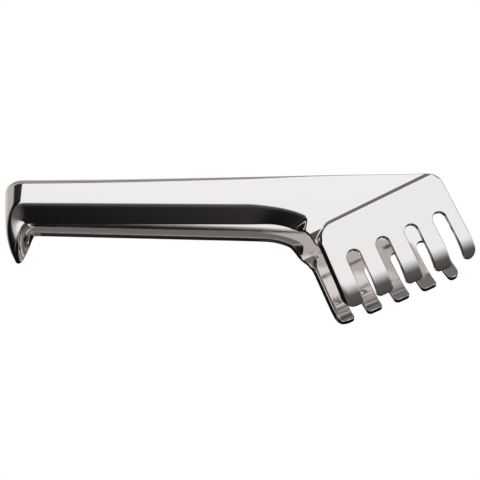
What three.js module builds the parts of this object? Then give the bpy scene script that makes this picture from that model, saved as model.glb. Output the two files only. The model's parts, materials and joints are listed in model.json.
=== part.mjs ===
// Ice tongs: one strip of polished stainless sheet, folded back on itself into a spring bow, with a
// flanged handle and a five-fingered comb head on each arm.
//
// Frame: millimetres, +Z up, arms along +X with the bow at the -X end. The lower handle is level, the
// raised plate of the lower head touches z = 0, and the origin is under the middle of the object.
import * as THREE from "three";

const DEG = Math.PI / 180;

// ---- driving dimensions -------------------------------------------------------------------------

const SHEET = 1.8; // thickness of the strip
const SPRING_GAP = 0.8; // slit between the bow and each arm, on its outer face

// The bow: a half turn of the flanged strip, with a pointed lobe in front.
const BOW_RADIUS = 11.3; // to the outer face
const BOW_X = -81; // its centre, along X
const DIVIDE = 45 * DEG; // how far round from the crown the strip is divided
const SPREAD = 0.95 * DEG; // slope of each handle away from the middle plane
const CROWN_BACK = 9.6; // reach of the crown's rear edge behind the centre line
const CROWN_BACK_DROP = 1.4; // and how far it turns in
const LOBE_REACH = 23.6; // reach of the lobe's point in front of the centre line
const LOBE_TURN = 7.6; // how far the lobe's edge turns in toward the handles
const LOBE_TILT = 0.15; // slope of the crown toward the handles, down to the lobe
const LOBE_FLARE = 5.4; // how far the lobe's sides spread away from the middle plane

// The handle's section.
const WEB_BACK = 4.6; // flat web, from the centre line to its rear bend
const WEB_FRONT = 3.5; // flat web, from the centre line to its front bend
const FLANGE_FRONT = 6.4; // width of the front flange, seen from above
const FLANGE_FRONT_DROP = 5.85; // and how far it turns in, at the bow
const FLANGE_FRONT_DROP_END = 4.4; // and at the head
const FLANGE_REAR = 4.0;
const FLANGE_REAR_DROP = 3.6;
const FLANGE_REAR_END = 1.4; // width of the rear flange at the head
const FLANGE_REAR_DROP_END = 0.5;
const BEND_WIDTH = 1.2; // width of a flange's rounded bend, seen from above

// The head, in its own skewed frame: U across the fingers from the front one, V along them.
const HEAD_X = 27.9; // front end of the crease
const HEAD_Y = -16.3;
const HEAD_ANGLE = 24.9 * DEG; // turn of U from X
const FINGER_ANGLE = -70.4 * DEG; // direction of the fingers from X
const CREASE_LEAN = 2.8 * DEG; // turn of the crease from U
const CREASE_WALL = 22 * DEG; // slope of the wall along the crease
const HEAD_RAISE = 0.55; // height of the head's plate above the handle's plane, at the crease
const HEAD_CORNER = 6; // corner radius of the raised plate
const HEAD_SLOPE = 3.5 * DEG; // slope of the head toward the middle plane
const SLOT_WIDTH = 5.4;
const SLOT_PITCH = 11.94;
const SLOT_START = 14.9; // from the crease to the middle of a slot's round end
const FINGER_LENGTH = 31.0; // from the crease to the front fingertip
const FINGER_GAIN = 0.033; // how much longer a finger is for each millimetre along U
const FRONT_FINGER = 6.1; // width of the front finger
const REAR_FINGER = 4.5; // width of the rear finger
const CURL_RADIUS = 20; // of the fingertips' inward curl
const CURL_TURN = 28 * DEG; // how far the fingertips turn
const TIP_ROUND = 1.6; // corner radius of a fingertip
const FRONT_ROUND = 4.8; // corner radius on the outer side of the front finger
const REAR_ROUND = 3.6; // and of the rear finger
const HEAD_FLANGE = 1.5; // narrow flange down the head's front edge
const HEAD_FLANGE_DROP = 1.6;
const REAR_LIP = 0.75; // margin of the head's plate behind the rear finger's straight side

// The arm's plan outline: straight edges, and a curve into each side of the head.
const FRONT_BEND_X = 9; // where the front edge starts to swing forward
const FRONT_BEND_SHIFT = -1.3; // and how far it has moved forward by then
const FRONT_PULL_X = 19.5; // where its curve is pulled to along the handle
const FRONT_JOIN = 8; // where it meets the head's side, along the fingers
const FRONT_PULL = 8.5; // length of the pull along that side
const REAR_BEND_X = 62;
const REAR_BEND_SHIFT = -0.6;
const REAR_PULL_X = 70;
const REAR_JOIN = 2.5;
const REAR_PULL = 6.5;

// ---- fineness -----------------------------------------------------------------------------------

const SLOTS = 4;
const FINGERS = SLOTS + 1;
const BOW_STEP = 7.5 * DEG;
const BOW_SHARES = [0, 1 / 3, 2 / 3, 1]; // places across the bow's web
const HANDLE_ROWS = 6;
const FAN_ROWS = 8;
const LEAD = -1.6; // distance before the crease of the fan's last row
const PLATE_ROWS = [0.5, 2.5, 8, SLOT_START]; // distances of the plate's rows past the crease
const FINGER_ROWS = 3;
const TIP_ROWS = 6;
const ARC_STEPS = 4; // facets round a slot's end
const FINGER_STEPS = 2; // facets across a finger
const FLANGE_STEPS = 4; // facets across a flange
const OUTLINE_POINTS = 300; // points on each stretch of an outline
const REAR_FAN = 0.52; // share of the rear edge that the handle's rows take
const FRONT_FAN = 0.76; // and of the front edge
const FADE_START = 0.88; // share of the way to the crease where the front flange starts to die out

const steel = () => new THREE.MeshStandardMaterial({ color: 0xdedede, roughness: 0.12, metalness: 1 });

// ---- curves -------------------------------------------------------------------------------------

const mix = (a, b, t) => a + (b - a) * t;
const clamp = (t) => Math.min(1, Math.max(0, t));
const smooth = (value) => {
  const t = clamp(value);
  return t * t * (3 - 2 * t);
};

// How far a flange has turned in, as a share of its whole drop, at the share q of its width: a round
// bend that runs on into a straight slope.
function flangeDrop(q, bend) {
  const whole = 1 - bend / 2;
  return q < bend ? (q * q) / (2 * bend) / whole : (q - bend / 2) / whole;
}

const bendShare = (width) => Math.min(1, BEND_WIDTH / Math.max(width, BEND_WIDTH));

const headU = new THREE.Vector2(Math.cos(HEAD_ANGLE), Math.sin(HEAD_ANGLE));
const headV = new THREE.Vector2(Math.cos(FINGER_ANGLE), Math.sin(FINGER_ANGLE));
const headAcross = Math.sin(HEAD_ANGLE - FINGER_ANGLE); // a step along U or V gains this distance
const crease = Math.sin(CREASE_LEAN);
const HEAD_WIDTH = FRONT_FINGER + REAR_FINGER + SLOTS * SLOT_WIDTH + (FINGERS - 2) * (SLOT_PITCH - SLOT_WIDTH);

function headPoint(u, v) {
  return new THREE.Vector2(HEAD_X, HEAD_Y).addScaledVector(headU, u).addScaledVector(headV, v);
}

// The skewed coordinates of a plan point.
function headCoordinates(x, y) {
  const dx = x - HEAD_X;
  const dy = y - HEAD_Y;
  const u = (dx * headV.y - dy * headV.x) / -headAcross;
  const v = (headU.x * dy - headU.y * dx) / -headAcross;
  return [u, v];
}

// The upper handle's outer face is a plane that leaves the bow at the spread angle.
const HANDLE_X = BOW_X - BOW_RADIUS * Math.sin(SPREAD);
const handleHeight = (x) => BOW_RADIUS * Math.cos(SPREAD) + (x - HANDLE_X) * Math.tan(SPREAD);

// How far the head's face has sunk past the crease: its slope, and the curl near the tips.
function headFall(past, toTip) {
  const length = CURL_RADIUS * (Math.sin(HEAD_SLOPE + CURL_TURN) - Math.sin(HEAD_SLOPE));
  const inCurl = Math.min(length, Math.max(0, length - toTip));
  const turned = Math.asin(Math.sin(HEAD_SLOPE) + inCurl / CURL_RADIUS);
  return Math.max(0, past - inCurl) * Math.tan(HEAD_SLOPE) + CURL_RADIUS * (Math.cos(HEAD_SLOPE) - Math.cos(turned));
}

// Height of the outer face at a plan point, before the handle's flanges turn in. The head's plate is
// raised, and its wall falls away round the plate's corner to the handle's plane.
function faceHeight(x, y) {
  const [u, v] = headCoordinates(x, y);
  const past = (v + u * crease) * headAcross;
  const beside = u * headAcross;
  const toTip = (FINGER_LENGTH + u * FINGER_GAIN - v) * headAcross;
  const gapPast = HEAD_CORNER - past;
  const gapBeside = HEAD_CORNER - beside;
  const far = Math.hypot(gapPast, gapBeside);
  const cornered = gapPast > 0 && gapBeside > 0;
  const depth = cornered ? HEAD_CORNER - far : Math.min(past, beside);
  const lean = cornered ? (gapBeside / far) ** 2 : beside < past ? 1 : 0;
  const half = BEND_WIDTH / 2;
  const steep = mix(Math.tan(CREASE_WALL), HEAD_FLANGE_DROP / (HEAD_FLANGE - half / 2), lean);
  const bent = (half - depth) ** 2 / (4 * half);
  const fall = steep * (depth > half ? 0 : depth < -half ? -depth : bent);
  return Math.max(handleHeight(x) - Math.max(0, past), handleHeight(x) + HEAD_RAISE - headFall(past, toTip) - fall);
}

// ---- the plan outline of an arm -----------------------------------------------------------------

// Points of an edge: from the bow to its bend, the curve into the head's side, and on down that side.
function outline(edgeY, bendX, bendShift, pullX, u, join, pull) {
  const start = new THREE.Vector2(HANDLE_X, edgeY);
  const bend = new THREE.Vector2(bendX, edgeY + bendShift);
  const end = headPoint(u, join);
  const handles = [new THREE.Vector2(pullX, bend.y), end.clone().addScaledVector(headV, -pull)];
  const path = new THREE.CurvePath();
  path.add(new THREE.LineCurve(start, bend));
  path.add(new THREE.CubicBezierCurve(bend, handles[0], handles[1], end));
  path.add(new THREE.LineCurve(end, headPoint(u, FINGER_LENGTH)));
  return path.getSpacedPoints(OUTLINE_POINTS);
}

const EDGE_FRONT = -(WEB_FRONT + FLANGE_FRONT);
const EDGE_REAR = WEB_BACK + FLANGE_REAR;
const REAR_U = HEAD_WIDTH + REAR_LIP;
const frontLine = outline(EDGE_FRONT, FRONT_BEND_X, FRONT_BEND_SHIFT, FRONT_PULL_X, -HEAD_FLANGE, FRONT_JOIN, FRONT_PULL);
const rearLine = outline(EDGE_REAR, REAR_BEND_X, REAR_BEND_SHIFT, REAR_PULL_X, REAR_U, REAR_JOIN, REAR_PULL);

// Where a line of points crosses the row v + lean * u = level, as a fractional index.
function crossing(line, lean, level) {
  const value = ({ x, y }) => {
    const [u, v] = headCoordinates(x, y);
    return v + lean * u - level;
  };
  const at = line.findIndex((p, i) => i > 0 && value(line[i - 1]) < 0 && value(p) >= 0);
  return at - value(line[at]) / (value(line[at]) - value(line[at - 1]));
}

function pointAt(line, index) {
  const i = Math.min(line.length - 2, Math.floor(index));
  return line[i].clone().lerp(line[i + 1], index - i);
}

// ---- rows of nodes ------------------------------------------------------------------------------

// Places across the flat, from its rear side: finger edges are even steps, and a slot's steps are
// even round its end, where "cut" is how far the round end reaches toward the crease.
function columns() {
  const list = [];
  let u = HEAD_WIDTH;
  for (let f = 0; f < FINGERS; f++) {
    const width = fingerWidth(f);
    for (let k = 0; k < FINGER_STEPS; k++) list.push({ u: u - (width * k) / FINGER_STEPS, cut: 0 });
    u -= width;
    if (f === SLOTS) break;
    for (let k = 0; k < ARC_STEPS; k++) {
      const angle = (Math.PI * k) / ARC_STEPS;
      list.push({ u: u - ((1 - Math.cos(angle)) * SLOT_WIDTH) / 2, cut: (Math.sin(angle) * SLOT_WIDTH) / 2 });
    }
    u -= SLOT_WIDTH;
  }
  list.push({ u, cut: 0 });
  return list;
}

function fingerWidth(finger) {
  if (finger === 0) return REAR_FINGER;
  return finger === FINGERS - 1 ? FRONT_FINGER : SLOT_PITCH - SLOT_WIDTH;
}

const COLUMNS = columns();
const ARM_SHARES = COLUMNS.map((column) => 1 - column.u / HEAD_WIDTH);

// A row between two points of the outline: rear flange, flat columns, front flange.
function rowOf(rear, front, flange, cutShare = 0) {
  const length = rear.distanceTo(front);
  const nodes = [];
  const add = (share, drop, cut = 0) => {
    const x = mix(rear.x, front.x, share) - headV.x * cut;
    const y = mix(rear.y, front.y, share) - headV.y * cut;
    nodes.push(new THREE.Vector3(x, y, faceHeight(x, y) - drop));
  };
  for (let k = 0; k < FLANGE_STEPS; k++) {
    const q = 1 - k / FLANGE_STEPS;
    add((flange.rear * (1 - q)) / length, flange.rearDrop * flangeDrop(q, bendShare(flange.rear)));
  }
  COLUMNS.forEach((column, i) => {
    add(mix(flange.rear / length, 1 - flange.front / length, ARM_SHARES[i]), 0, column.cut * cutShare);
  });
  for (let k = 1; k <= FLANGE_STEPS; k++) {
    const q = k / FLANGE_STEPS;
    add(1 - (flange.front * (1 - q)) / length, flange.frontDrop * flangeDrop(q, bendShare(flange.front)));
  }
  return nodes;
}

// One sheet: nodes of the outer face and the quads between them.
class Sheet {
  constructor() {
    this.nodes = [];
    this.quads = [];
  }

  addRow(nodes) {
    const first = this.nodes.length;
    this.nodes.push(...nodes);
    return nodes.map((_, k) => first + k);
  }

  // Quads between two rows of node numbers of the same length.
  join(rowA, rowB) {
    for (let k = 0; k + 1 < rowA.length; k++) this.quads.push([rowA[k], rowA[k + 1], rowB[k + 1], rowB[k]]);
  }

  normals() {
    const list = this.nodes.map(() => new THREE.Vector3());
    for (const q of this.quads) {
      const [a, b, c, d] = q.map((i) => this.nodes[i]);
      const normal = new THREE.Vector3().crossVectors(c.clone().sub(a), d.clone().sub(b)).normalize();
      q.forEach((i) => list[i].add(normal));
    }
    return list.map((n) => n.normalize());
  }

  // Closed solid: the outer face, the inner face a sheet's thickness behind it, and the cut edges.
  geometry(mirrored) {
    const normals = this.normals();
    const inner = this.nodes.map((p, i) => p.clone().addScaledVector(normals[i], -SHEET));
    const points = [...this.nodes, ...inner];
    const count = this.nodes.length;
    const faces = [];
    const edges = new Map();
    const side = (a, b) => {
      const back = b + ":" + a;
      if (edges.has(back)) edges.delete(back);
      else edges.set(a + ":" + b, [a, b]);
    };
    for (const [a, b, c, d] of this.quads) {
      faces.push([a, b, c], [a, c, d]);
      faces.push([a + count, c + count, b + count], [a + count, d + count, c + count]);
      side(a, b);
      side(b, c);
      side(c, d);
      side(d, a);
    }
    for (const [a, b] of edges.values()) faces.push([b, a, a + count], [b, a + count, b + count]);
    const flip = mirrored ? -1 : 1;
    const positions = points.flatMap((p) => [p.x, p.y, p.z * flip]);
    const index = faces.flatMap(([a, b, c]) => (mirrored ? [a, c, b] : [a, b, c]));
    const geometry = new THREE.BufferGeometry();
    geometry.setAttribute("position", new THREE.Float32BufferAttribute(positions, 3));
    geometry.setIndex(index);
    geometry.computeVertexNormals();
    return geometry;
  }
}

// ---- the bow ------------------------------------------------------------------------------------

// A row of the bow's nodes at an angle round from the crown: 0 at the crown, a quarter turn at the
// handle. Its front flange swells into the lobe and its rear flange flattens, both toward the crown.
function bowRow(angle, shares) {
  const near = Math.cos(angle);
  const lobe = near * near;
  const frontWidth = mix(FLANGE_FRONT, LOBE_REACH - WEB_FRONT, lobe);
  const frontDrop = FLANGE_FRONT_DROP - LOBE_FLARE * near;
  const rearWidth = mix(FLANGE_REAR, CROWN_BACK - WEB_BACK, lobe);
  const rearDrop = mix(FLANGE_REAR_DROP, CROWN_BACK_DROP, lobe);
  const frontBend = mix(bendShare(FLANGE_FRONT), 1, lobe);
  const rearBend = mix(bendShare(FLANGE_REAR), 1, lobe);
  const tilt = (y) => LOBE_TILT * (WEB_BACK - Math.min(y, WEB_BACK));
  const edgeTilt = tilt(-WEB_FRONT - frontWidth);
  const nodes = [];
  const add = (y, dropX, dropZ) => {
    const x = BOW_X - (BOW_RADIUS - dropX) * near;
    nodes.push(new THREE.Vector3(x, y, (BOW_RADIUS - dropZ) * Math.sin(angle)));
  };
  for (let k = 0; k < FLANGE_STEPS; k++) {
    const q = 1 - k / FLANGE_STEPS;
    const drop = rearDrop * flangeDrop(q, rearBend);
    add(WEB_BACK + rearWidth * q, drop, drop);
  }
  for (const across of shares) {
    const y = mix(WEB_BACK, -WEB_FRONT, across);
    add(y, tilt(y), 0);
  }
  for (let k = 1; k <= FLANGE_STEPS; k++) {
    const q = k / FLANGE_STEPS;
    const y = -WEB_FRONT - frontWidth * q;
    add(y, tilt(y) + (LOBE_TURN - edgeTilt) * q ** 3, frontDrop * flangeDrop(q, frontBend));
  }
  return nodes;
}

const NARROWEST = BOW_RADIUS - FLANGE_REAR_DROP - SHEET; // least distance of the sheet from the bow's axis
const slit = SPRING_GAP / 2 / NARROWEST; // half the slit, as an angle round the bow

function springBow() {
  const sheet = new Sheet();
  const end = DIVIDE - slit;
  const steps = Math.round((2 * end) / BOW_STEP);
  let last = null;
  for (let k = 0; k <= steps; k++) {
    const row = sheet.addRow(bowRow(mix(-end, end, k / steps), BOW_SHARES));
    if (last) sheet.join(last, row);
    last = row;
  }
  return sheet.geometry(false);
}

// ---- an arm -------------------------------------------------------------------------------------

// How far a side draws in at a distance from the tip, round a corner.
function drawIn(fromTip, round) {
  const inside = Math.min(round, Math.max(0, round - fromTip));
  return round - Math.sqrt(round * round - inside * inside);
}

function arm(mirrored) {
  const sheet = new Sheet();
  let last = null;
  const addRow = (nodes) => {
    const row = sheet.addRow(nodes);
    if (last) sheet.join(last, row);
    last = row;
  };
  // The arm's share of the bow, from the slit to the handle.
  const from = DIVIDE + slit;
  const to = 90 * DEG - SPREAD;
  const steps = Math.ceil((to - from) / BOW_STEP);
  for (let k = 0; k <= steps; k++) addRow(bowRow(mix(from, to, k / steps), ARM_SHARES));
  // The handle, and the fan of rows that swings round to the crease.
  const rearLead = crossing(rearLine, crease, LEAD);
  const frontLead = crossing(frontLine, crease, LEAD);
  for (let k = 1; k <= HANDLE_ROWS + FAN_ROWS; k++) {
    const inHandle = Math.min(1, k / HANDLE_ROWS);
    const inFan = Math.max(0, k - HANDLE_ROWS) / FAN_ROWS;
    const share = (inHandle + inFan) / 2;
    const fade = smooth((share - FADE_START) / (1 - FADE_START));
    addRow(
      rowOf(
        pointAt(rearLine, rearLead * mix(REAR_FAN * inHandle, 1, inFan)),
        pointAt(frontLine, frontLead * mix(FRONT_FAN * inHandle, 1, inFan)),
        {
          rear: mix(FLANGE_REAR, FLANGE_REAR_END, smooth(share)),
          rearDrop: mix(FLANGE_REAR_DROP, FLANGE_REAR_DROP_END, smooth(share)),
          front: mix(FLANGE_FRONT, HEAD_FLANGE, fade),
          frontDrop: mix(FLANGE_FRONT_DROP, FLANGE_FRONT_DROP_END, share) * (1 - fade),
        },
      ),
    );
  }
  // The head's plate, from the crease to the slots' round ends.
  for (const level of PLATE_ROWS) {
    const share = (level - LEAD) / (SLOT_START - LEAD);
    const lean = crease * (1 - share);
    addRow(
      rowOf(
        pointAt(rearLine, crossing(rearLine, lean, level)),
        pointAt(frontLine, crossing(frontLine, lean, level)),
        { rear: mix(FLANGE_REAR_END, REAR_LIP, share), rearDrop: 0, front: HEAD_FLANGE, frontDrop: 0 },
        share,
      ),
    );
  }
  // The fingers, each from its own stretch of the plate's last row.
  let rearU = HEAD_WIDTH;
  for (let f = 0; f < FINGERS; f++) {
    const rearmost = f === 0;
    const frontmost = f === FINGERS - 1;
    const frontU = rearU - fingerWidth(f);
    const stride = FINGER_STEPS + ARC_STEPS;
    const start = rearmost ? 0 : FLANGE_STEPS + f * stride;
    const end = FLANGE_STEPS + f * stride + FINGER_STEPS + (frontmost ? FLANGE_STEPS : 0);
    const lip = rearmost ? REAR_LIP : 0;
    const hem = frontmost ? HEAD_FLANGE : 0;
    const length = FINGER_LENGTH + FINGER_GAIN * ((rearU + frontU) / 2);
    const untilTip = length - FRONT_ROUND;
    let previous = last.slice(start, end + 1);
    for (let k = 1; k <= FINGER_ROWS + TIP_ROWS; k++) {
      const inTip = Math.max(0, k - FINGER_ROWS) / TIP_ROWS;
      const inFinger = Math.min(1, k / FINGER_ROWS);
      const v = mix(SLOT_START, untilTip, inFinger) + FRONT_ROUND * Math.sin(inTip * 90 * DEG);
      const rear = rearU + lip - drawIn(length - v, rearmost ? REAR_ROUND : TIP_ROUND);
      const front = frontU - hem + drawIn(length - v, frontmost ? FRONT_ROUND : TIP_ROUND);
      const stretch = (rear - front) / (rearU + lip - frontU + hem);
      const places = [];
      if (rearmost) for (let j = FLANGE_STEPS; j > 0; j--) places.push(rearU + (lip * j) / FLANGE_STEPS);
      for (let j = 0; j <= FINGER_STEPS; j++) places.push(mix(rearU, frontU, j / FINGER_STEPS));
      if (frontmost) for (let j = 1; j <= FLANGE_STEPS; j++) places.push(frontU - (hem * j) / FLANGE_STEPS);
      const nodes = places.map((place) => {
        const { x, y } = headPoint(front + (place - frontU + hem) * stretch, v);
        return new THREE.Vector3(x, y, faceHeight(x, y));
      });
      const row = sheet.addRow(nodes);
      sheet.join(previous, row);
      previous = row;
    }
    rearU = frontU - SLOT_WIDTH;
  }
  return sheet.geometry(mirrored);
}

// ---- the object ---------------------------------------------------------------------------------

function piece(name, geometry) {
  const mesh = new THREE.Mesh(geometry, steel());
  mesh.name = name;
  return mesh;
}

// Pieces in the bow's symmetric frame, then laid down so that the lower handle is level on z = 0.
const tongs = new THREE.Group();
tongs.add(piece("spring_bow", springBow()), piece("upper_arm", arm(false)), piece("lower_arm", arm(true)));
tongs.rotation.y = -SPREAD;

const object = new THREE.Group();
object.add(tongs);
object.updateMatrixWorld(true);
const box = new THREE.Box3().setFromObject(object, true);
tongs.position.set(-(box.min.x + box.max.x) / 2, -(box.min.y + box.max.y) / 2, -box.min.z);

export default object;
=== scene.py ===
"""Ice tongs: one strip of polished stainless sheet, folded into a spring bow with two comb heads.

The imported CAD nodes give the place, the bodies and the joints. The visible strip is made here as two
fine skins, which meet at the crown of the bow: each is a grid of numpy points, from the crown round
the bow, along the flanged handle and out into the five fingers of its head. Lengths are millimetres
until a mesh is made, and then metres.
"""

from __future__ import annotations

import json
import logging
from dataclasses import dataclass, field
from enum import Enum
from typing import Any

import bpy
import numpy as np
from mathutils import Matrix, Vector

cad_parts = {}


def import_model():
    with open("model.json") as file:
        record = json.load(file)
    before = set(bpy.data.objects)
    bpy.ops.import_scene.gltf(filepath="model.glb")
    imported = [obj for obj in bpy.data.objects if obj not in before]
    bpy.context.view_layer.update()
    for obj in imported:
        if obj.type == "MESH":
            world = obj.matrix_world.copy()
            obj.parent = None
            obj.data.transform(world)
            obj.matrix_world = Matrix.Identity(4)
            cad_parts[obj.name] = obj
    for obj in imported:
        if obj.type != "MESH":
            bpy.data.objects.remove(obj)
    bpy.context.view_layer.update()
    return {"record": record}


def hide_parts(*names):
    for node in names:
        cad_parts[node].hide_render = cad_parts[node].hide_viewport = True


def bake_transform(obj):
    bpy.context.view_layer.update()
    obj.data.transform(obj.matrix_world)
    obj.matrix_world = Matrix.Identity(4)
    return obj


LOG = logging.getLogger("ice_tongs")
MM = 0.001

# The hinges lie this far from the bow's axis, in millimetres, and this far round from its crown.
HINGE_RADIUS = 7.5
HINGE_ANGLE = 45.0


# ---- small helpers ------------------------------------------------------------------------------


def linear(hex_colour: str) -> tuple[float, float, float, float]:
    """Turn an sRGB hex colour into linear RGBA.

    Args:
        hex_colour: Six hex digits, with or without a leading hash.

    Returns:
        Linear red, green and blue, and an alpha of 1.
    """
    digits = hex_colour.lstrip("#")
    srgb = np.array([int(digits[i : i + 2], 16) / 255 for i in (0, 2, 4)])
    value = np.where(srgb <= 0.04045, srgb / 12.92, ((srgb + 0.055) / 1.055) ** 2.4)
    return (float(value[0]), float(value[1]), float(value[2]), 1.0)


def add_node(tree: Any, kind: str, links: dict[Any, Any] | None = None, **settings: Any) -> Any:
    """Add one node to a node tree, with its settings and its inputs.

    Args:
        tree: The node tree.
        kind: The node's type name, such as "ShaderNodeBump".
        links: Input name or number, to either an output socket to link or a plain value.
        **settings: Attributes set on the node itself.

    Returns:
        The new node.
    """
    node = tree.nodes.new(kind)
    for name, value in settings.items():
        setattr(node, name, value)
    for name, value in (links or {}).items():
        socket = node.inputs[name]
        if isinstance(value, bpy.types.NodeSocket):
            tree.links.new(value, socket)
        else:
            socket.default_value = value
    return node


def smooth_step(value: np.ndarray) -> np.ndarray:
    """The cubic step that leaves 0 and reaches 1 level: 3t^2 - 2t^3, held outside 0 to 1.

    Args:
        value: Places along the step, 0 at its start and 1 at its end.

    Returns:
        The step's height at each place.
    """
    t = np.clip(value, 0, 1)
    return t * t * (3 - 2 * t)


def bend_drop(share: np.ndarray, bend: np.ndarray) -> np.ndarray:
    """How far a flange has turned in, as a share of its whole drop.

    A round bend runs on into a straight slope: a parabola q^2 / 2b up to the share b, then a line of
    the same slope, scaled so that the whole width gives 1.

    Args:
        share: Share of the flange's width, 0 at the web.
        bend: Share of the width that the bend takes.

    Returns:
        The drop at each share.
    """
    whole = 1 - bend / 2
    return np.where(share < bend, share**2 / (2 * bend), share - bend / 2) / whole


def bezier(points: list[tuple[float, float]], count: int) -> np.ndarray:
    """A cubic curve in plan: the Bernstein sum of its four handles.

    Args:
        points: The curve's start, two pulls and end.
        count: Number of points to give.

    Returns:
        Points of the curve, from its start to its end.
    """
    t = np.linspace(0, 1, count)[:, None]
    a, b, c, d = (np.array(p, float) for p in points)
    return (1 - t) ** 3 * a + 3 * (1 - t) ** 2 * t * b + 3 * (1 - t) * t**2 * c + t**3 * d


class Half(Enum):
    """Which half of the strip a skin is, and its sign along Z."""

    UPPER = 1
    LOWER = -1


# ---- the strip's sizes --------------------------------------------------------------------------


@dataclass(frozen=True)
class Strip:
    """Sizes of the strip, in millimetres and degrees, in the bow's symmetric frame."""

    sheet: float = 1.8
    edge_round: float = 0.42

    bow_radius: float = 11.3
    bow_x: float = -81.0
    spread: float = 0.95
    crown_back: float = 9.6
    crown_back_drop: float = 1.4
    lobe_reach: float = 23.6
    lobe_turn: float = 7.6
    lobe_tilt: float = 0.15
    lobe_flare: float = 5.4

    web_back: float = 4.6
    web_front: float = 3.5
    flange_front: float = 6.4
    flange_front_drop: float = 5.85
    flange_front_drop_end: float = 4.4
    flange_rear: float = 4.0
    flange_rear_drop: float = 3.6
    flange_rear_end: float = 1.4
    flange_rear_drop_end: float = 0.5
    bend_width: float = 1.2

    head_x: float = 27.9
    head_y: float = -16.3
    head_angle: float = 24.9
    finger_angle: float = -70.4
    crease_lean: float = 2.8
    crease_wall: float = 22.0
    head_raise: float = 0.55
    head_corner: float = 6.0
    head_slope: float = 3.5
    slot_width: float = 5.4
    slot_pitch: float = 11.94
    slot_start: float = 14.9
    finger_length: float = 31.0
    finger_gain: float = 0.033
    front_finger: float = 6.1
    rear_finger: float = 4.5
    curl_radius: float = 20.0
    curl_turn: float = 28.0
    tip_round: float = 1.6
    front_round: float = 4.8
    rear_round: float = 3.6
    head_flange: float = 1.5
    head_flange_drop: float = 1.6
    rear_lip: float = 0.75

    front_bend: tuple[float, float] = (9.0, -1.3)
    front_pull_x: float = 19.5
    front_join: float = 8.0
    front_pull: float = 8.5
    rear_bend: tuple[float, float] = (62.0, -0.6)
    rear_pull_x: float = 70.0
    rear_join: float = 2.5
    rear_pull: float = 6.5
    lead: float = -1.6
    fade_start: float = 0.88
    crease_end: float = 2.6
    rear_middle: float = 0.52
    front_middle: float = 0.76
    wall_reach: float = 1.4
    floor_slope: float = 0.5
    valley_round: float = 0.12
    slots: int = 4

    @property
    def fingers(self) -> int:
        """Fingers on a head."""
        return self.slots + 1

    @property
    def head_u(self) -> np.ndarray:
        """Unit plan vector across the fingers, from the front finger to the rear one."""
        return np.array([np.cos(np.radians(self.head_angle)), np.sin(np.radians(self.head_angle))])

    @property
    def head_v(self) -> np.ndarray:
        """Unit plan vector along the fingers."""
        return np.array([np.cos(np.radians(self.finger_angle)), np.sin(np.radians(self.finger_angle))])

    @property
    def head_across(self) -> float:
        """Distance from the crease that a step of 1 along a finger gains."""
        return float(np.sin(np.radians(self.head_angle - self.finger_angle)))

    @property
    def head_width(self) -> float:
        """Width of the head along the crease, between the straight sides of its outer fingers."""
        inner = self.slot_pitch - self.slot_width
        outer = self.front_finger + self.rear_finger
        return outer + self.slots * self.slot_width + (self.fingers - 2) * inner

    @property
    def crease(self) -> float:
        """How far the crease falls back along the fingers for each step across them."""
        return float(np.sin(np.radians(self.crease_lean)))

    @property
    def handle_x(self) -> float:
        """Where the bow's curve runs into the straight handle, along X."""
        return self.bow_x - self.bow_radius * np.sin(np.radians(self.spread))

    def head_point(self, u: np.ndarray, v: np.ndarray) -> np.ndarray:
        """Plan points at the head's own skewed coordinates.

        Args:
            u: Distances across the fingers.
            v: Distances along the fingers.

        Returns:
            The plan points.
        """
        u, v = np.broadcast_arrays(np.asarray(u, float), np.asarray(v, float))
        start = np.array([self.head_x, self.head_y])
        return start + u[..., None] * self.head_u + v[..., None] * self.head_v

    def head_coordinates(self, plan: np.ndarray) -> tuple[np.ndarray, np.ndarray]:
        """The skewed coordinates of plan points: the inverse of head_point.

        Args:
            plan: Plan points.

        Returns:
            Distances across the fingers, and along them.
        """
        basis = np.stack([self.head_u, self.head_v], axis=1)
        uv = (plan - np.array([self.head_x, self.head_y])) @ np.linalg.inv(basis).T
        return uv[..., 0], uv[..., 1]

    def handle_height(self, x: np.ndarray) -> np.ndarray:
        """Height of the upper handle's outer face: a plane at the spread angle.

        Args:
            x: Places along the handle.

        Returns:
            The height at each place.
        """
        spread = np.radians(self.spread)
        return self.bow_radius * np.cos(spread) + (x - self.handle_x) * np.tan(spread)

    def head_fall(self, past: np.ndarray, to_tip: np.ndarray) -> np.ndarray:
        """How far the head's face has sunk past the crease.

        A plane at the head's slope, and near the tips a circle of the curl radius:
        R (cos slope - cos turned), where sin turned grows by distance / R.

        Args:
            past: Distance past the crease.
            to_tip: Distance to the line of the fingertips.

        Returns:
            The fall at each place.
        """
        slope, end = np.radians(self.head_slope), np.radians(self.head_slope + self.curl_turn)
        length = self.curl_radius * (np.sin(end) - np.sin(slope))
        in_curl = np.clip(length - to_tip, 0, length)
        turned = np.arcsin(np.sin(slope) + in_curl / self.curl_radius)
        run = np.clip(past - in_curl, 0, None)
        return run * np.tan(slope) + self.curl_radius * (np.cos(slope) - np.cos(turned))

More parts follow.
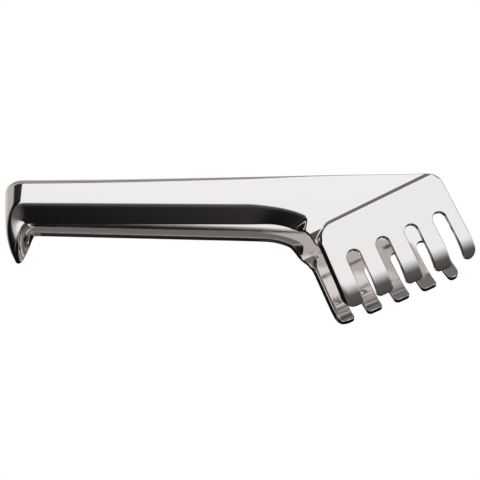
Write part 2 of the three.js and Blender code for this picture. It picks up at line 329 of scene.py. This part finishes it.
    def face_height(self, plan: np.ndarray) -> np.ndarray:
        """Height of the outer face at plan points, before the handle's flanges turn in.

        The head is a raised plateau. Its wall falls away outside a rounded corner between the crease
        and the front edge, and meets the handle's plane in a shallow valley. The face is the larger
        of the two.

        Args:
            plan: Plan points.

        Returns:
            The height at each point.
        """
        u, v = self.head_coordinates(plan)
        past = (v + u * self.crease) * self.head_across
        to_tip = (self.finger_length + u * self.finger_gain - v) * self.head_across
        beside = u * self.head_across
        gap_a = self.head_corner - past
        gap_b = self.head_corner - beside
        far = np.hypot(np.clip(gap_a, 0, None), np.clip(gap_b, 0, None))
        in_corner = (gap_a > 0) & (gap_b > 0)
        depth = np.where(in_corner, self.head_corner - far, np.minimum(past, beside))
        to_side = np.clip(gap_b, 0, None) ** 2 / np.maximum(far, 1e-6) ** 2
        lean = np.where(in_corner, to_side, beside < past)
        depth = np.maximum(depth, -self.wall_reach)
        crease = np.tan(np.radians(self.crease_wall))
        side = self.head_flange_drop / (self.head_flange - self.bend_width / 4)
        steep = crease + (side - crease) * lean
        half_bend = self.bend_width / 2
        bent = (half_bend - depth) ** 2 / (4 * half_bend)
        fall = steep * np.where(depth > half_bend, 0, np.where(depth < -half_bend, -depth, bent))
        handle = self.handle_height(plan[..., 0])
        wall = handle + self.head_raise - self.head_fall(past, to_tip) - fall
        floor = handle - self.floor_slope * np.clip(past, 0, None)
        soft = self.valley_round
        return np.maximum(wall, floor) + soft * np.exp(-np.abs(wall - floor) / soft) / 2


# ---- the skin of half the strip -----------------------------------------------------------------


@dataclass(frozen=True)
class Fineness:
    """How many steps the grid takes along each stretch."""

    bow: int = 60
    handle: int = 26
    fan: int = 44
    crease: int = 40
    web: int = 26
    finger: int = 30
    tip: int = 18
    flange: int = 14
    across_finger: int = 8
    slot_end: int = 18
    edge: int = 5


@dataclass
class HalfStrip:
    """One half of the strip, from the crown of the bow to the fingertips of one head."""

    half: Half
    sizes: Strip = field(default_factory=Strip)
    steps: Fineness = field(default_factory=Fineness)

    def columns(self) -> tuple[np.ndarray, np.ndarray, list[tuple[int, int]]]:
        """Places across the strip, from its rear side.

        Finger columns are even steps. A slot's columns are even steps round its semicircle, so the
        share across is (1 - cos a) / 2 and the cut toward the crease is sin a.

        Returns:
            Head coordinates u of the columns, how far each column's last row is cut back, and each
            finger's first and last column.
        """
        s, n = self.sizes, self.steps
        inset = s.edge_round
        u_list, cut_list, spans = [], [], []
        u = s.head_width
        count = 0
        for finger in range(s.fingers):
            width = s.slot_pitch - s.slot_width
            width = {0: s.rear_finger, s.fingers - 1: s.front_finger}.get(finger, width)
            rear = u if finger == 0 else u - inset
            front = u - width if finger == s.fingers - 1 else u - width + inset
            u_list.append(np.linspace(rear, front, n.across_finger + 1))
            cut_list.append(np.zeros(n.across_finger + 1))
            spans.append((count, count + n.across_finger))
            count += n.across_finger + 1
            u -= width
            if finger < s.slots:
                angle = np.linspace(0, np.pi, n.slot_end + 1)[1:-1]
                radius = s.slot_width / 2 + inset
                u_list.append(front - radius * (1 - np.cos(angle)))
                cut_list.append(radius * np.sin(angle))
                count += n.slot_end - 1
                u -= s.slot_width
        return np.concatenate(u_list), np.concatenate(cut_list), spans

    def edge(self, edge_y: float, bend: np.ndarray, pull_x: float, u: float, join: float, pull: float) -> np.ndarray:
        """Close plan points of one edge of the arm.

        A straight line down the handle, a cubic curve into the side of the head, and the side itself.

        Args:
            edge_y: Where the edge starts, across the handle.
            bend: Where it leaves the straight line.
            pull_x: Where the curve is pulled to along the handle.
            u: The side's place on the head.
            join: Where the curve meets the side, along the fingers.
            pull: Length of the curve's pull along the side.

        Returns:
            Points of the edge, from the bow.
        """
        s = self.sizes
        end = s.head_point(u, join)
        start = np.array([s.handle_x, edge_y])
        curve = bezier([tuple(bend), (pull_x, bend[1]), tuple(end - pull * s.head_v), tuple(end)], 300)
        side = s.head_point(u, np.linspace(join, s.finger_length, 60)[1:])
        return np.concatenate([np.linspace(start, bend, 300)[:-1], curve, side])

    def outline(self) -> tuple[np.ndarray, np.ndarray]:
        """The arm's front and rear edges in plan, less the rounding of the sheet's cut edge.

        Returns:
            Points of the front edge and of the rear edge, from the bow.
        """
        s = self.sizes
        inset = s.edge_round
        front_y = -(s.web_front + s.flange_front) + inset
        rear_y = s.web_back + s.flange_rear - inset
        front_bend = np.array([s.front_bend[0], front_y + s.front_bend[1]])
        rear_bend = np.array([s.rear_bend[0], rear_y + s.rear_bend[1]])
        front_u, rear_u = -s.head_flange + inset, s.head_width + s.rear_lip - inset
        return (
            self.edge(front_y, front_bend, s.front_pull_x, front_u, s.front_join, s.front_pull),
            self.edge(rear_y, rear_bend, s.rear_pull_x, rear_u, s.rear_join, s.rear_pull),
        )

    def crossing(self, line: np.ndarray, lean: np.ndarray, level: np.ndarray) -> np.ndarray:
        """Fractional places where a line of points crosses the rows v + lean u = level.

        Args:
            line: Plan points.
            lean: Lean of each row.
            level: Level of each row.

        Returns:
            The place along the line for each row.
        """
        u, v = self.sizes.head_coordinates(line)
        found = []
        for slope, height in zip(lean, level):
            value = v + slope * u - height
            last = np.where(value < 0)[0].max()
            found.append(last + value[last] / (value[last] - value[last + 1]))
        return np.array(found)

    @staticmethod
    def at(line: np.ndarray, place: np.ndarray) -> np.ndarray:
        """Points at fractional places of a line of points.

        Args:
            line: Plan points.
            place: Fractional places along the line.

        Returns:
            The plan point at each place.
        """
        index = np.arange(len(line))
        return np.stack([np.interp(place, index, line[:, axis]) for axis in (0, 1)], axis=1)

    def plan_rows(self) -> tuple[np.ndarray, np.ndarray, np.ndarray]:
        """Ends of the rows across the handle and the head's plate.

        Down the handle and round the fan, rows join points at even lengths along both edges. From a
        little before the crease they run parallel to it, and swing round to lie across the fingers.

        Returns:
            Rear ends, front ends and the share of each row: 0 to 1 down to the lead row before the
            crease, and on from 1 to 2 over the head's plate.
        """
        s, n = self.sizes, self.steps
        near = np.linspace(s.lead, s.crease_end, n.crease + 1)[1:]
        level = np.concatenate([near, np.linspace(s.crease_end, s.slot_start, n.web + 1)[1:]])
        plate = (level - s.lead) / (s.slot_start - s.lead)
        handle, fan = np.linspace(0, 0.5, n.handle + 1)[1:], np.linspace(0.5, 1, n.fan + 1)[1:]
        share = np.concatenate([handle, fan])
        ends = []
        for line, middle in zip(self.outline(), (s.front_middle, s.rear_middle)):
            length = np.concatenate([[0], np.cumsum(np.linalg.norm(np.diff(line, axis=0), axis=1))])
            places = np.arange(len(line))
            lead = self.crossing(line, np.array([s.crease]), np.array([s.lead]))[0]
            whole = np.interp(lead, places, length)
            wanted = np.interp(share, [0.0, 0.5, 1.0], [0.0, middle * whole, whole])
            before = np.interp(wanted, length, places)
            after = self.crossing(line, s.crease * (1 - plate), level)
            ends.append(self.at(line, np.concatenate([before, after])))
        return ends[1], ends[0], np.concatenate([share, 1 + plate])

    def flange_sizes(self, share: np.ndarray) -> dict[str, np.ndarray]:
        """Width and drop of both flanges on each row of the plan.

        The front flange keeps its width down the handle and dies out before the crease, where the
        sheet's edge lies level in the inner corner. The head's own wall takes over past it.

        Args:
            share: Share of each row, as plan_rows gives it.

        Returns:
            Widths and drops by name.
        """
        s = self.sizes
        inset = s.edge_round
        on_handle, plate = np.clip(share, 0, 1), np.clip(share - 1, 0, 1)
        fade = smooth_step((on_handle - s.fade_start) / (1 - s.fade_start))
        down = smooth_step(on_handle)
        drop = s.flange_front_drop + (s.flange_front_drop_end - s.flange_front_drop) * on_handle
        rear = s.flange_rear + (s.flange_rear_end - s.flange_rear) * down
        rear_drop = s.flange_rear_drop + (s.flange_rear_drop_end - s.flange_rear_drop) * down
        return {
            "front_width": s.flange_front + (s.head_flange - s.flange_front) * fade - inset,
            "front_drop": drop * (1 - fade),
            "rear_width": rear + (s.rear_lip - s.flange_rear_end) * plate - inset,
            "rear_drop": rear_drop * (1 - smooth_step(plate * 3)),
        }

    def bow_rows(self) -> np.ndarray:
        """Points of the outer face round the bow, from the crown to the handle.

        At an angle a from the crown, x = -(r - turn) cos a and z = (r - drop) sin a. Toward the
        crown the front flange swells as cos^2 a into the lobe, whose edge turns in toward the handles
        as the cube of its width, and whose sides flare from the middle plane as cos a.

        Returns:
            Rows of points, from the rear edge to the front one.
        """
        s, n = self.sizes, self.steps
        angle = np.linspace(0, np.radians(90 - s.spread), n.bow + 1)[:, None]
        near = np.cos(angle)
        lobe = near**2
        inset = s.edge_round
        front_width = s.flange_front + (s.lobe_reach - s.web_front - s.flange_front) * lobe - inset
        rear_width = s.flange_rear + (s.crown_back - s.web_back - s.flange_rear) * lobe - inset
        rear_drop = s.flange_rear_drop + (s.crown_back_drop - s.flange_rear_drop) * lobe
        front_bend = s.bend_width / s.flange_front + (1 - s.bend_width / s.flange_front) * lobe
        rear_bend = s.bend_width / s.flange_rear + (1 - s.bend_width / s.flange_rear) * lobe
        q_rear = np.linspace(1, 0, n.flange + 1)[None, :-1]
        q_front = np.linspace(0, 1, n.flange + 1)[None, 1:]
        u, _, _ = self.columns()
        web_y = s.web_back - (s.web_back + s.web_front) * (1 - u / s.head_width)[None, :] + 0 * angle
        front_y = -s.web_front - front_width * q_front
        turn_in = (s.lobe_turn - s.lobe_tilt * (s.web_back + s.web_front + front_width)) * q_front**3
        rear_in = rear_drop * bend_drop(q_rear, rear_bend)
        front_in = (s.flange_front_drop - s.lobe_flare * near) * bend_drop(q_front, front_bend)
        y = np.concatenate([s.web_back + rear_width * q_rear, web_y, front_y], axis=1)
        tilt = s.lobe_tilt * np.clip(s.web_back - y, 0, None)
        turn = tilt + np.concatenate([rear_in, 0 * web_y, turn_in], axis=1)
        drop = np.concatenate([rear_in, 0 * web_y, front_in], axis=1)
        x = s.bow_x - (s.bow_radius - turn) * near
        return np.stack([x, y, (s.bow_radius - drop) * np.sin(angle)], axis=-1)

    def plate_rows(self) -> np.ndarray:
        """Points of the outer face down the handle and over the head, to the slots' round ends.

        Returns:
            Rows of points, from the rear edge to the front one.
        """
        s, n = self.sizes, self.steps
        rear, front, share = self.plan_rows()
        flange = self.flange_sizes(share)
        length = np.linalg.norm(front - rear, axis=1)[:, None]
        rear_w, front_w = flange["rear_width"][:, None], flange["front_width"][:, None]
        u, cut, _ = self.columns()
        q_rear = np.linspace(1, 0, n.flange + 1)[None, :-1]
        q_front = np.linspace(0, 1, n.flange + 1)[None, 1:]
        across = (1 - u / s.head_width)[None, :]
        web_start, web_end = rear_w / length, 1 - front_w / length
        at = np.concatenate(
            [
                rear_w * (1 - q_rear) / length,
                web_start + (web_end - web_start) * across,
                1 - front_w * (1 - q_front) / length,
            ],
            axis=1,
        )[..., None]
        plan = rear[:, None, :] * (1 - at) + front[:, None, :] * at
        late = np.clip(share - 1, 0, 1)[:, None]
        whole_cut = np.concatenate([np.zeros(n.flange), cut, np.zeros(n.flange)])[None, :]
        plan = plan - (whole_cut * late)[..., None] * s.head_v
        bend_rear = s.bend_width / np.maximum(rear_w, s.bend_width)
        bend_front = s.bend_width / np.maximum(front_w, s.bend_width)
        drop = np.concatenate(
            [
                flange["rear_drop"][:, None] * bend_drop(q_rear, bend_rear),
                np.zeros((len(rear), len(u))),
                flange["front_drop"][:, None] * bend_drop(q_front, bend_front),
            ],
            axis=1,
        )
        return np.concatenate([plan, (s.face_height(plan) - drop)[..., None]], axis=-1)

    def finger_rows(self, finger: int) -> np.ndarray:
        """Points of the outer face down one finger.

        A side draws in round a corner of radius r by r - sqrt(r^2 - (r - distance to tip)^2).

        Args:
            finger: Number of the finger, from the rear.

        Returns:
            Rows of points, as many across as the finger's columns and its flange take.
        """
        s, n = self.sizes, self.steps
        u, _, spans = self.columns()
        first, last = spans[finger]
        inset = s.edge_round
        length = s.finger_length + s.finger_gain * (u[first] + u[last]) / 2
        even = np.linspace(s.slot_start, length - s.front_round, n.finger + 1)[1:]
        turn = np.linspace(0, np.pi / 2, n.tip + 1)[1:]
        late = length - s.front_round + (s.front_round - inset) * np.sin(turn)
        lengths = np.concatenate([even, late])
        to_tip = (length - inset - lengths)[:, None]

        def drawn(round_off: float) -> np.ndarray:
            """How far a side draws in on each row, round a corner of the given radius."""
            radius = round_off - inset
            inside = np.clip(radius - to_tip, 0, radius)
            return radius - np.sqrt(np.clip(radius**2 - inside**2, 0, None))

        rearmost, frontmost = finger == 0, finger == s.fingers - 1
        lip = s.rear_lip - inset if rearmost else 0.0
        hem = s.head_flange - inset if frontmost else 0.0
        rear, front = u[first] + lip, u[last] - hem
        start = rear - drawn(s.rear_round if rearmost else s.tip_round)
        end = front + drawn(s.front_round if frontmost else s.tip_round)
        base = u[first : last + 1]
        if rearmost:
            base = np.concatenate([u[first] + lip * np.linspace(1, 0, n.flange + 1)[:-1], base])
        if frontmost:
            base = np.concatenate([base, u[last] - hem * np.linspace(0, 1, n.flange + 1)[1:]])
        place = start + (end - start) * (rear - base)[None, :] / (rear - front)
        plan = s.head_point(place, lengths[:, None] + 0 * place)
        return np.concatenate([plan, s.face_height(plan)[..., None]], axis=-1)

    def surface(self) -> tuple[np.ndarray, np.ndarray, np.ndarray]:
        """The outer face as one net of quads.

        Returns:
            Points, quads, and the numbers of the points of the row at the crown.
        """
        s, n = self.sizes, self.steps
        rows = np.concatenate([self.bow_rows(), self.plate_rows()])
        count = rows.shape[0] * rows.shape[1]
        net = np.arange(count).reshape(rows.shape[:2])
        points = [rows.reshape(-1, 3)]
        blocks = [net]
        _, _, spans = self.columns()
        for finger in range(s.fingers):
            first, last = spans[finger]
            lo = 0 if finger == 0 else n.flange + first
            hi = n.flange + last + (n.flange if finger == s.fingers - 1 else 0)
            made = self.finger_rows(finger)
            block = count + np.arange(made.shape[0] * made.shape[1]).reshape(made.shape[:2])
            count += block.size
            points.append(made.reshape(-1, 3))
            blocks.append(np.concatenate([net[-1:, lo : hi + 1], block]))
        quads = [
            np.stack([b[:-1, :-1], b[:-1, 1:], b[1:, 1:], b[1:, :-1]], axis=-1).reshape(-1, 4) for b in blocks
        ]
        return np.concatenate(points), np.concatenate(quads), net[0]

    def solid(self) -> tuple[np.ndarray, np.ndarray, np.ndarray, list[np.ndarray]]:
        """The half strip as a closed skin.

        The inner face lies a sheet's thickness behind the outer along its normals. Each free edge is
        carried round: out along the conormal by r sin a and back by r (1 - cos a), a straight land,
        and the same again onto the inner face. The cut at the crown is closed flat.

        Returns:
            Points, quads, the points' normals, and the ring of points that closes each side of the
            rounded edge at the crown.
        """
        s, n = self.sizes, self.steps
        points, quads, crown = self.surface()
        corner = points[quads]
        face_normal = np.cross(corner[:, 2] - corner[:, 0], corner[:, 3] - corner[:, 1])
        normals = np.zeros_like(points)
        for k in range(4):
            np.add.at(normals, quads[:, k], face_normal)
        normals[crown, 2] = 0.0
        normals /= np.linalg.norm(normals, axis=1)[:, None]
        count = len(points)
        inner = points - s.sheet * normals

        sides = np.concatenate([quads[:, [k, (k + 1) % 4]] for k in range(4)])
        key = sides[:, 0] * count + sides[:, 1]
        twin = sides[:, 1] * count + sides[:, 0]
        free = sides[~np.isin(key, twin)]
        at_crown = np.isin(free[:, 0], crown) & np.isin(free[:, 1], crown)
        seam, edge = free[at_crown], free[~at_crown]

        rim = np.unique(edge)
        number = np.full(count, -1)
        number[rim] = np.arange(len(rim))
        tangent = np.zeros((len(rim), 3))
        step = points[edge[:, 1]] - points[edge[:, 0]]
        step /= np.linalg.norm(step, axis=1)[:, None]
        np.add.at(tangent, number[edge[:, 0]], step)
        np.add.at(tangent, number[edge[:, 1]], step)
        conormal = np.cross(tangent, normals[rim])
        conormal[np.isin(rim, crown), 2] = 0.0
        conormal /= np.linalg.norm(conormal, axis=1)[:, None]

        turn = np.linspace(0, np.pi / 2, n.edge + 1)[1:]
        out = np.concatenate([s.edge_round * np.sin(turn), s.edge_round * np.sin(turn[::-1])])
        back = s.edge_round * (1 - np.cos(turn))
        back = np.concatenate([back, s.sheet - back[::-1]])
        lean = np.concatenate([np.cos(turn), -np.cos(turn[::-1])])
        push = np.concatenate([np.sin(turn), np.sin(turn[::-1])])
        rings = points[rim] + out[:, None, None] * conormal - back[:, None, None] * normals[rim]
        ring_normals = push[:, None, None] * conormal + lean[:, None, None] * normals[rim]
        laps = len(out)
        ring_at = 2 * count + np.arange(laps * len(rim)).reshape(laps, len(rim))
        ladder = np.concatenate([rim[None], ring_at, rim[None] + count])

        a, b = number[edge[:, 0]], number[edge[:, 1]]
        walls = [
            np.stack([near[b], near[a], beyond[a], beyond[b]], axis=-1)
            for near, beyond in zip(ladder[:-1], ladder[1:])
        ]
        back_face = (quads + count)[:, ::-1]
        cap = np.stack([seam[:, 1], seam[:, 0], seam[:, 0] + count, seam[:, 1] + count], axis=-1)
        faces = np.concatenate([quads, back_face, *walls, cap])
        all_points = np.concatenate([points, inner, rings.reshape(-1, 3)])
        all_normals = np.concatenate([normals, -normals, ring_normals.reshape(-1, 3)])
        rings_at_crown = [ladder[:, number[end]] for end in np.intersect1d(rim, crown)]
        return all_points, faces, all_normals, rings_at_crown

    def build(self, place: np.ndarray) -> bpy.types.Object:
        """Make the skin's object in the row frame.

        Args:
            place: 4 by 4 matrix from the bow's symmetric frame, in millimetres, to the row frame.

        Returns:
            The object, with its place in its mesh.
        """
        points, faces, normals, caps = self.solid()
        if self.half is Half.LOWER:
            points = points * np.array([1, 1, -1])
            normals = normals * np.array([1, 1, -1])
            faces = faces[:, ::-1]
        world = points @ place[:3, :3].T + place[:3, 3]
        turned = normals @ place[:3, :3].T
        name = f"{self.half.name.lower()}_strip"
        mesh = bpy.data.meshes.new(name)
        polygons = faces.tolist()
        toward = np.array([0.0, 0.0, -float(self.half.value)])
        for cap in caps:
            ring = world[cap] - world[cap].mean(axis=0)
            area = np.cross(ring, np.roll(ring, -1, axis=0)).sum(axis=0)
            lap = cap.tolist()
            polygons.append(lap if area @ toward > 0 else lap[::-1])
        mesh.from_pydata((world * MM).tolist(), [], polygons)
        mesh.update()
        mesh.polygons.foreach_set("use_smooth", np.ones(len(mesh.polygons), bool))
        mesh.normals_split_custom_set_from_vertices(turned.tolist())
        thing = bpy.data.objects.new(name, mesh)
        bpy.context.scene.collection.objects.link(thing)
        return thing


# ---- finishes -----------------------------------------------------------------------------------


@dataclass(frozen=True)
class PolishedStainless:
    """Stainless sheet, buffed to a mirror: even grey reflections, and faint buffing in the gloss."""

    colour: str = "#F2F0EF"
    roughness: float = 0.06
    roughness_spread: float = 0.05
    haze_mm: float = 14.0

    def material(self) -> bpy.types.Material:
        """Make the material.

        Returns:
            The material, whose gloss varies over a slow noise.
        """
        made = bpy.data.materials.new("polished_stainless")
        made.use_nodes = True
        tree = made.node_tree
        tree.nodes.clear()
        where = add_node(tree, "ShaderNodeTexCoord").outputs["Object"]
        grain = {"Vector": where, "Scale": 1 / (self.haze_mm * MM), "Detail": 3.0}
        haze = add_node(tree, "ShaderNodeTexNoise", grain)
        low, high = self.roughness, self.roughness + self.roughness_spread
        gloss = add_node(tree, "ShaderNodeMapRange", {"Value": haze.outputs["Fac"], 3: low, 4: high})
        shader = add_node(
            tree,
            "ShaderNodeBsdfPrincipled",
            {
                "Base Color": linear(self.colour),
                "Metallic": 1.0,
                "Roughness": gloss.outputs[0],
            },
        )
        add_node(tree, "ShaderNodeOutputMaterial", {"Surface": shader.outputs[0]})
        return made


# ---- the studio ---------------------------------------------------------------------------------


@dataclass(frozen=True)
class Studio:
    """Camera and light. Lengths of the camera are metres, and the card's limits are slopes."""

    elevation: float = 64.4
    distance: float = 0.256
    focal: float = 50.0
    sensor: float = 36.0
    target_y_mm: float = -13.8
    card_left: float = -0.86
    card_front: float = 0.02
    card_back: float = 0.85
    card_light: float = 0.93
    grey: str = "#FFF6F2"

    def camera(self, target: Vector, turn: Matrix) -> None:
        """Place the camera in front of and above the target, leaning with the bow.

        Args:
            target: The point it looks at, in metres.
            turn: Turn from the bow's symmetric frame to the row frame.
        """
        data = bpy.data.cameras.new("camera")
        data.sensor_width = self.sensor
        data.lens = self.focal
        data.clip_start = 0.01
        view = bpy.data.objects.new("camera", data)
        up = np.radians(self.elevation)
        back = Vector((0.0, -np.cos(up), np.sin(up))) * self.distance
        tip = Matrix.Rotation(np.radians(90 - self.elevation), 3, "X")
        view.matrix_world = Matrix.Translation(target + turn @ back) @ (turn @ tip).to_4x4()
        bpy.context.scene.collection.objects.link(view)
        bpy.context.scene.camera = view

    def world(self) -> None:
        """White all round for the eye; for the metal, a white ceiling and back over a dark front."""
        world = bpy.data.worlds.new("studio")
        bpy.context.scene.world = world
        world.use_nodes = True
        tree = world.node_tree
        tree.nodes.clear()
        ray = add_node(tree, "ShaderNodeLightPath")
        where = add_node(tree, "ShaderNodeTexCoord").outputs["Generated"]
        axes = add_node(tree, "ShaderNodeSeparateXYZ", {"Vector": where}).outputs
        x, y, z = axes["X"], axes["Y"], axes["Z"]

        def ramp(value: Any, start: float, end: float, top: float = 1.0) -> Any:
            """A smooth step of a direction's measure, from 0 at start to top at end.

            Args:
                value: The measure's socket.
                start: Where the step leaves 0.
                end: Where it reaches its top.
                top: Its height.

            Returns:
                The step's socket.
            """
            node = add_node(
                tree,
                "ShaderNodeMapRange",
                {"Value": value, "From Min": start, "From Max": end, "To Min": 0.0, "To Max": top},
                interpolation_type="SMOOTHSTEP",
            )
            return node.outputs["Result"]

        def sums(kind: str, *values: Any) -> Any:
            """Fold values together with one operation.

            Args:
                kind: The operation, as the Math node names it.
                *values: Sockets or numbers.

            Returns:
                The result's socket.
            """
            total = values[0]
            for value in values[1:]:
                total = add_node(tree, "ShaderNodeMath", {0: total, 1: value}, operation=kind).outputs[0]
            return total

        rise = sums("MAXIMUM", z, 0.02)
        across, behind = sums("DIVIDE", x, rise), sums("DIVIDE", y, rise)
        card = sums(
            "MULTIPLY",
            ramp(across, self.card_left - 0.06, self.card_left + 0.06),
            ramp(behind, self.card_front - 0.3, self.card_front + 0.2),
            ramp(sums("MULTIPLY", behind, -1.0), -self.card_back - 0.15, -self.card_back + 0.1),
            ramp(z, 0.0, 0.05, self.card_light),
        )
        # Dim light for the metal, each with its own limits and strength: a side wall, a strip low at
        # the back, the floor, the room behind and the room in front.
        low = sums("MULTIPLY", z, -1.0)
        left = sums("MULTIPLY", x, -1.0)
        wall = sums("MULTIPLY", ramp(left, 0.45, 0.8), ramp(low, -0.26, -0.1), ramp(y, 0.12, 0.34), 0.5)
        strip = sums("MULTIPLY", ramp(y, 0.6, 0.9), ramp(low, -0.26, -0.1), ramp(z, -0.3, -0.12), 0.55)
        floor = sums("MULTIPLY", ramp(low, 0.35, 0.8), ramp(y, 0.05, 0.4), 0.55)
        back = sums("MULTIPLY", ramp(y, 0.35, 0.85), ramp(low, 0.25, -0.35), 0.17)
        front = sums("MULTIPLY", ramp(y, 0.1, -0.2), ramp(z, 0.3, 0.95), 0.1)
        grey = add_node(
            tree,
            "ShaderNodeMix",
            {"Factor": 1.0, "A": linear(self.grey)},
            data_type="RGBA",
            blend_type="MULTIPLY",
        )
        dim = sums("ADD", wall, strip, floor, back, front, 0.006)
        tree.links.new(dim, grey.inputs["B"])
        whole = add_node(
            tree,
            "ShaderNodeMix",
            {"Factor": 1.0},
            data_type="RGBA",
            blend_type="ADD",
        )
        tree.links.new(grey.outputs["Result"], whole.inputs["A"])
        tree.links.new(card, whole.inputs["B"])
        seen = add_node(tree, "ShaderNodeBackground", {"Color": (1, 1, 1, 1), "Strength": 1.0})
        light = add_node(tree, "ShaderNodeBackground", {"Color": whole.outputs["Result"], "Strength": 1.0})
        mix = add_node(
            tree,
            "ShaderNodeMixShader",
            {"Fac": ray.outputs["Is Camera Ray"], 1: light.outputs[0], 2: seen.outputs[0]},
        )
        add_node(tree, "ShaderNodeOutputWorld", {"Surface": mix.outputs[0]})


def placing(record: dict[str, Any], sizes: Strip) -> np.ndarray:
    """Matrix from the bow's symmetric frame, in millimetres, to the row frame.

    The two hinges lie one above the other in the symmetric frame, so the middle between them and
    the lean of the line through them give the place and the tilt.

    Args:
        record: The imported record.
        sizes: The strip's sizes.

    Returns:
        A 4 by 4 matrix whose result is in millimetres.
    """
    joints = {j["name"]: np.array(j["pos_m"]) / MM for j in record["behaviour"]["joints"]}
    upper, lower = joints["upper_squeeze"], joints["lower_squeeze"]
    middle = (upper + lower) / 2
    lean = upper - lower
    turn = np.array(Matrix.Rotation(np.arctan2(lean[0], lean[2]), 4, "Y"))
    hinge = HINGE_RADIUS * np.cos(np.radians(HINGE_ANGLE))
    start = np.array([sizes.bow_x - hinge, 0.0, 0.0])
    turn[:3, 3] = middle - turn[:3, :3] @ start
    return turn


def main() -> None:
    """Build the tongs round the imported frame."""
    logging.basicConfig(level=logging.INFO, format="%(name)s: %(message)s")
    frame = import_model()
    scene = bpy.context.scene
    scene.view_settings.view_transform = "Standard"
    sizes = Strip()
    place = placing(frame["record"], sizes)
    steel = PolishedStainless().material()
    for half, body, node in ((Half.UPPER, "upper", "upper_arm"), (Half.LOWER, "lower", "lower_arm")):
        skin = HalfStrip(half, sizes).build(place)
        skin.data.materials.append(steel)
        if half is Half.UPPER:
            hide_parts(node, "spring_bow")
        else:
            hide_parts(node)
        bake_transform(skin)
        LOG.info("%s: %d points", skin.name, len(skin.data.vertices))
    studio = Studio()
    centre = place @ np.array([0.0, studio.target_y_mm, 0.0, 1.0])
    studio.camera(Vector(centre[:3] * MM), Matrix(place[:3, :3].tolist()))
    studio.world()


if __name__ == "__main__":
    main()
